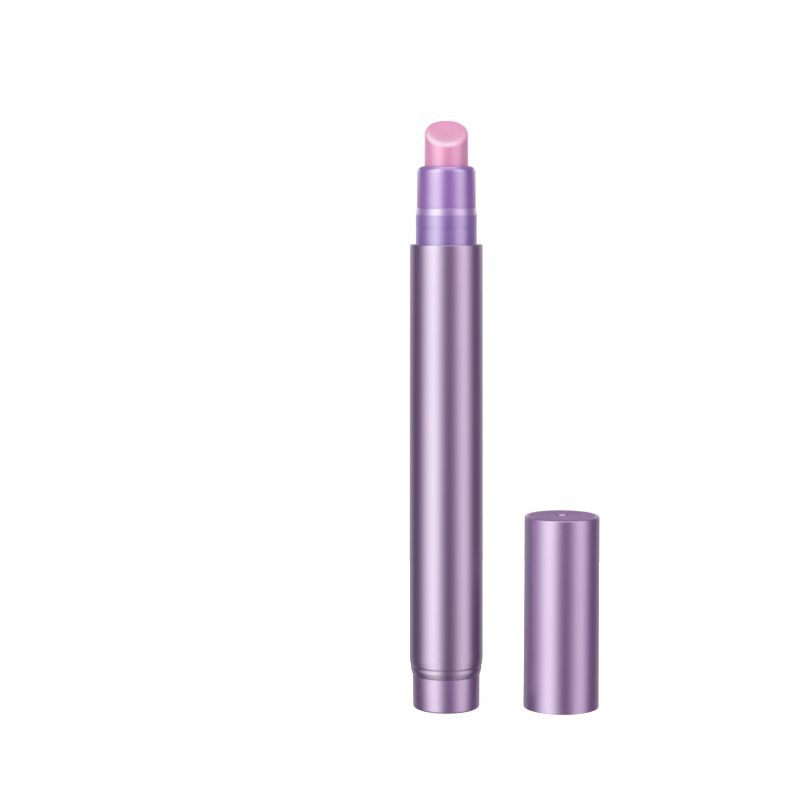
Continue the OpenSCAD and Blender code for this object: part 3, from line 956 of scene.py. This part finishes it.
@dataclass
class Nib:
    """The silicone nib: a round stub cut by a slanted face, with a soft rim round a shallow dish."""

    root_radius: float = 3.83
    tip_radius: float = 3.76
    flange_radius: float = 4.32
    flange: float = 1.28
    stem_bore: float = 2.06
    stem_height: float = 6.0
    feed_bore: float = 0.82
    feed_height: float = 8.02
    pore_radius: float = 0.13
    pore_end_radius: float = 0.104
    pore_depth: float = 1.0
    edge: float = 0.6
    face_height: float = 4.75
    face_tilt: float = math.radians(33)
    tip_softness: float = 0.55
    dish_depth: float = 0.12
    dish_run: float = 0.6
    dish_floor: float = 0.85
    rim_side: float = 0.55
    rim_low: float = 0.6
    rim_tip: float = 0.9
    ring_step: float = 0.11
    slant_from: float = 93.0
    inner_gap: float = 0.5

    def _outline(self, room: Room) -> list[tuple[float, float]]:
        """The stub before its face is slanted, with the stem's socket inside and rings across its top.

        Args:
            room: The room of the nib.

        Returns:
            The outline's points.
        """
        side = rounded([
            Corner(self.stem_bore, room.foot),
            Corner(self.flange_radius, room.foot),
            Corner(self.flange_radius, room.foot + self.flange),
            Corner(self.root_radius, room.foot + self.flange),
            Corner(self.root_radius, self.slant_from),
            Corner(self.tip_radius, room.top, self.edge),
            Corner(self.tip_radius - 2 * self.edge, room.top),
        ])[:-1]
        reach = self.tip_radius - self.edge
        count = round((reach - self.pore_radius) / self.ring_step)
        rings = [(reach + (self.pore_radius - reach) * i / count, room.top) for i in range(1, count + 1)]
        inside = [
            (self.pore_end_radius, room.top - self.pore_depth),
            (0.0, room.top - self.pore_depth),
            (0.0, room.foot + self.feed_height),
            (self.feed_bore, room.foot + self.feed_height),
            (self.feed_bore, room.foot + self.stem_height),
            (self.stem_bore, room.foot + self.stem_height),
        ]
        return [*side, *rings, *inside]

    def _face_drop(self, x: float, y: float) -> float:
        """How far the slanted, dished face lies below the flat top that it is made from.

        Args:
            x: Place across the nib, from its axis.
            y: Place from the face's low side towards the tip, from the axis.

        Returns:
            The drop, in millimetres.
        """
        low_side = y + self.tip_radius
        plane = self.face_height - low_side * math.tan(self.face_tilt)
        soft = self.tip_softness
        drop = 0.5 * (plane + math.sqrt(plane * plane + soft * soft))
        middle = (self.rim_low - self.rim_tip) / 2
        along = self.tip_radius - (self.rim_low + self.rim_tip) / 2
        across = self.tip_radius - self.rim_side
        out = math.hypot(x / across, (y - middle) / along)
        share = min(max((1.0 - out) / self.dish_run, 0.0), 1.0)
        dish = share * share * (3 - 2 * share)
        bowl = max(0.0, 1 - out * out)
        return drop + self.dish_depth * (self.dish_floor * dish + (1 - self.dish_floor) * bowl)

    def build(self, finish: PinkSilicone) -> None:
        """Turns the stub, lowers its top to the slanted face and dresses it.

        Args:
            finish: The silicone.
        """
        room = Room.of("nib")
        nib = turn_piece("nib_tip", self._outline(room))
        rim_drop = self._face_drop(0.0, self.tip_radius)
        socket_radius = self.stem_bore + self.inner_gap
        socket_top = room.foot + self.feed_height + self.inner_gap
        for vertex in nib.data.vertices:
            x, y, z = vertex.co / MM
            outer = math.hypot(x, y) > socket_radius or z > socket_top
            if z > self.slant_from and outer:
                share = (z - self.slant_from) / (room.top - self.slant_from)
                vertex.co.z -= share * (self._face_drop(x, y) - rim_drop) * MM
        nib.data.update()
        rim = SlantedRim(
            room.top - self.face_height + rim_drop, math.tan(self.face_tilt), self.tip_radius, self.rim_side
        )
        fit(nib, Body.BARREL, finish.make("pink silicone", rim), "nib")


@dataclass
class Cap:
    """The metallised cap, stood open end down, with the gate's dimple in its closed end."""

    wall: float = 0.8
    draft: float = 0.1
    top_thickness: float = 1.0
    top_edge: float = 0.28
    crown_run: float = 0.8
    crown_drop: float = 0.1
    crown_edge: float = 1.5
    rim_edge: float = 0.1
    bore_edge: float = 0.08
    dimple_radius: float = 1.15
    dimple_depth: float = 0.2
    dimple_run: float = 0.12
    dimple_edge: float = 0.1
    dimple_fillet: float = 0.12
    gate_radius: float = 0.3
    gate_run: float = 0.08
    gate_rise: float = 0.12
    gate_fillet: float = 0.05
    gate_edge: float = 0.06
    gate_crown: float = 0.03
    matt_depth: float = 0.01

    def build(self, finish: MetallisedLacquer) -> None:
        """Turns the cap and dresses it.

        Args:
            finish: The lacquer.
        """
        room = Room.of("cap_shell")
        bore = room.radius - self.wall
        dimple = room.top - self.dimple_depth
        outline = rounded([
            Corner(bore, room.foot, self.bore_edge),
            Corner(room.radius, room.foot, self.rim_edge),
            Corner(room.radius - self.draft, room.top - self.crown_drop, self.top_edge),
            Corner(room.radius - self.draft - self.crown_run, room.top, self.crown_edge),
            Corner(self.dimple_radius + self.dimple_run, room.top, self.dimple_edge),
            Corner(self.dimple_radius - self.dimple_run, dimple, self.dimple_fillet),
            Corner(self.gate_radius + self.gate_run, dimple, self.gate_fillet),
            Corner(self.gate_radius, dimple + self.gate_rise, self.gate_edge),
            Corner(0.0, dimple + self.gate_rise + self.gate_crown),
            Corner(0.0, room.top - self.top_thickness),
            Corner(bore, room.top - self.top_thickness),
        ])
        shell = turn_piece("cap_cover", outline, room.axis)
        lacquer = finish.make("cap lacquer", [room.foot, room.top], room.top - self.matt_depth)
        fit(shell, Body.CAP, lacquer, "cap_shell")
        shell.visible_glossy = False


@dataclass
class Mechanism:
    """The pieces inside, which keep their CAD shapes."""

    def dress(self) -> None:
        """Gives every CAD node that still shows the finish of its slot."""
        materials = {slot: finish.make(slot.value) for slot, finish in INNER_FINISHES.items()}
        slots = {part["node"]: Slot(part["material_slot"]) for part in frame["record"]["subparts"]}
        for name, node in frame["nodes"].items():
            if node.hide_render:
                continue
            node.data.materials.clear()
            node.data.materials.append(materials[slots[name]])
            log.info("%s: CAD shape in %s", name, slots[name].value)


# Studio


@dataclass(frozen=True)
class LightWall:
    """A soft upright wall of light: its bearings in degrees, from 0 towards the camera, and its strength."""

    edge: float
    peak: float
    end: float
    strength: float

    def seen(self, bearing: Signal) -> Signal:
        """The wall's light along a bearing.

        Args:
            bearing: The bearing in radians.

        Returns:
            Its strength there.
        """
        rise = bearing.ramp(*in_radians((self.edge, self.peak)), 0.0, self.strength)
        return rise * bearing.ramp(*in_radians((self.peak, self.end)), 1.0, 0.0)


@dataclass
class Studio:
    """Pale floor, white surroundings with a wall of light on each side, one lamp overhead, and the camera.

    Bearings are in degrees, from 0 towards the camera. A band of heights is in parts of a direction's length.
    Places and sizes are metres, and the floor's grain and the camera's sensor and lens are millimetres.
    """

    floor_radius: float = 0.15
    floor_middle: float = 0.013
    floor_sides: int = 96
    floor_colour: float = 0.86
    floor_shade: Rgb = (0.84, 0.84, 0.845)
    floor_glow: float = 0.72
    floor_grain: float = 6.0
    floor_band: Band = (0.3, 0.7)
    left_wall: LightWall = LightWall(edge=-100.0, peak=-42.0, end=2.0, strength=1.8)
    right_wall: LightWall = LightWall(edge=11.0, peak=56.0, end=98.0, strength=1.28)
    right_tint: Rgb = (1.0, 0.9, 1.01)
    tint_bearings: Band = (0.0, 25.0)
    back_bearings: Band = (115.0, 150.0)
    back_level: float = 1.1
    back_foot: Band = (-0.05, 0.1)
    back_foot_share: float = 0.4
    back_top: Band = (0.19, 0.34)
    back_top_share: float = 0.1
    gap_level: float = 0.02
    fill_bearings: Band = (92.0, 115.0)
    fill_level: float = 0.075
    under_heights: Band = (-0.72, -0.52)
    under_level: float = 0.42
    upper_heights: Band = (0.07, 0.24)
    upper_gain: float = 1.45
    ceiling_heights: Band = (0.7, 0.96)
    ceiling_level: float = 0.35
    canopy_bearings: Band = (70.0, 110.0)
    canopy_foot: Band = (0.25, 0.5)
    canopy_top: Band = (0.8, 0.93)
    canopy_level: float = 0.4
    lamp_place: Triple = (0.0, 0.1, 0.9)
    lamp_size: tuple[float, float] = (0.7, 0.6)
    lamp_power: float = 1.4
    camera_place: Triple = (-0.00815, -0.391, 0.095)
    camera_pitch: float = 5.84
    camera_roll: float = -0.1
    sensor_width: float = 36.0
    lens: float = 100.45
    near_clip: float = 0.01

    def _floor(self) -> None:
        """A pale disc that keeps the object's shadow and shows as the white surroundings elsewhere."""
        deselect_all()
        bpy.ops.mesh.primitive_circle_add(
            vertices=self.floor_sides,
            radius=self.floor_radius,
            fill_type="NGON",
            location=(self.floor_middle, 0.0, 0.0),
        )
        floor = bpy.context.object
        floor.name = "floor"
        bpy.ops.object.transform_apply(location=True, rotation=True, scale=True)
        recipe = Recipe("pale floor")
        path = recipe.add("ShaderNodeLightPath")
        seen = Signal(recipe, path.outputs["Is Camera Ray"])
        seen = seen.larger(Signal(recipe, path.outputs["Is Transmission Ray"]))
        grain = recipe.noise(self.floor_grain, detail=2.0).ramp(*self.floor_band)
        tone = self.floor_colour
        paper = recipe.blend_colours(grain, (tone, tone, tone), self.floor_shade)
        cloth = recipe.add("ShaderNodeBsdfDiffuse", {}, {"Color": paper})
        glow = recipe.add("ShaderNodeEmission", {}, {"Strength": seen * self.floor_glow})
        both = recipe.add("ShaderNodeAddShader", {}, {0: cloth.outputs[0], 1: glow.outputs[0]})
        recipe.add("ShaderNodeOutputMaterial", {}, {"Surface": both.outputs[0]})
        floor.data.materials.append(recipe.material)
        floor.visible_glossy = False

    def _surroundings(self) -> None:
        """White to the camera, and otherwise white behind the pen, two walls of light, and dim between them."""
        world = bpy.data.worlds.new("studio")
        bpy.context.scene.world = world
        world.use_nodes = True
        tree = NodeTree(world.node_tree)
        path = tree.add("ShaderNodeLightPath")
        camera = Signal(tree, path.outputs["Is Camera Ray"]).larger(Signal(tree, path.outputs["Is Transmission Ray"]))
        mirrored = Signal(tree, path.outputs["Is Glossy Ray"])
        parts = tree.add("ShaderNodeSeparateXYZ", {}, {0: tree.add("ShaderNodeTexCoord").outputs["Generated"]})
        across, away, up = (Signal(tree, parts.outputs[axis]) for axis in "XYZ")
        bearing = across.bearing(away * -1.0)
        behind = abs(bearing).ramp(*in_radians(self.back_bearings), 0.0, self.back_level)
        behind = behind * up.ramp(*self.back_foot, self.back_foot_share, 1.0)
        behind = behind * up.ramp(*self.back_top, 1.0, self.back_top_share)
        walls = self.left_wall.seen(bearing) + self.right_wall.seen(bearing)
        walls = walls * up.ramp(*self.upper_heights, 1.0, self.upper_gain)
        fill = bearing.ramp(*in_radians(self.fill_bearings), self.gap_level, self.fill_level)
        level = (behind + walls + fill) * up.ramp(*self.under_heights, self.under_level, 1.0)
        ceiling = up.ramp(*self.ceiling_heights)
        level = (1.0 - ceiling) * level + self.ceiling_level * ceiling
        canopy = mirrored * abs(bearing).ramp(*in_radians(self.canopy_bearings), self.canopy_level, 0.0)
        canopy = canopy * up.ramp(*self.canopy_foot) * up.ramp(*self.canopy_top, 1.0, 0.0)
        strength = level.larger(canopy).larger(camera)
        tinted = bearing.ramp(*in_radians(self.tint_bearings)) * (1.0 - camera)
        colour = tree.blend_colours(tinted, WHITE, self.right_tint)
        sky = tree.add("ShaderNodeBackground", {}, {"Color": colour, "Strength": strength})
        tree.add("ShaderNodeOutputWorld", {}, {"Surface": sky.outputs[0]})

    def _lamp(self) -> None:
        """One soft lamp overhead, which gives the tops their light and the floor its shadow."""
        bpy.ops.object.light_add(type="AREA", location=self.lamp_place, rotation=(0.0, 0.0, 0.0))
        overhead = bpy.context.object
        overhead.name = "overhead softbox"
        overhead.data.shape = "RECTANGLE"
        overhead.data.size, overhead.data.size_y = self.lamp_size
        overhead.data.energy = self.lamp_power

    def _camera(self) -> None:
        """The photograph's viewing angle: level with the nib's root and looking slightly down."""
        turn = (math.radians(90.0 - self.camera_pitch), 0.0, 0.0)
        bpy.ops.object.camera_add(location=self.camera_place, rotation=turn)
        camera = bpy.context.object
        camera.rotation_euler.rotate_axis("Z", math.radians(self.camera_roll))
        camera.data.sensor_width = self.sensor_width
        camera.data.lens = self.lens
        camera.data.clip_start = self.near_clip
        bpy.context.scene.camera = camera

    def build(self) -> None:
        """Sets the camera, the floor, the world and the lamp."""
        self._camera()
        self._floor()
        self._surroundings()
        self._lamp()
        bpy.context.scene.view_settings.view_transform = "Standard"


def main() -> None:
    """Builds the studio and then the pen, from the knob up, the cap and the pieces inside."""
    logging.basicConfig(level=logging.INFO, format="%(name)s: %(message)s")
    Studio().build()
    deep_lacquer = MetallisedLacquer(
        colour=(0.475, 0.262, 0.585), deep=(0.44, 0.238, 0.55), roughness=0.52, pearl_index=3.4, pearl_roughness=0.27
    )
    Knob().build(deep_lacquer)
    Barrel().build(MetallisedLacquer())
    Neck().build(TintedGloss())
    Nib().build(PinkSilicone())
    Cap().build(deep_lacquer)
    Mechanism().dress()


if __name__ == "__main__":
    main()
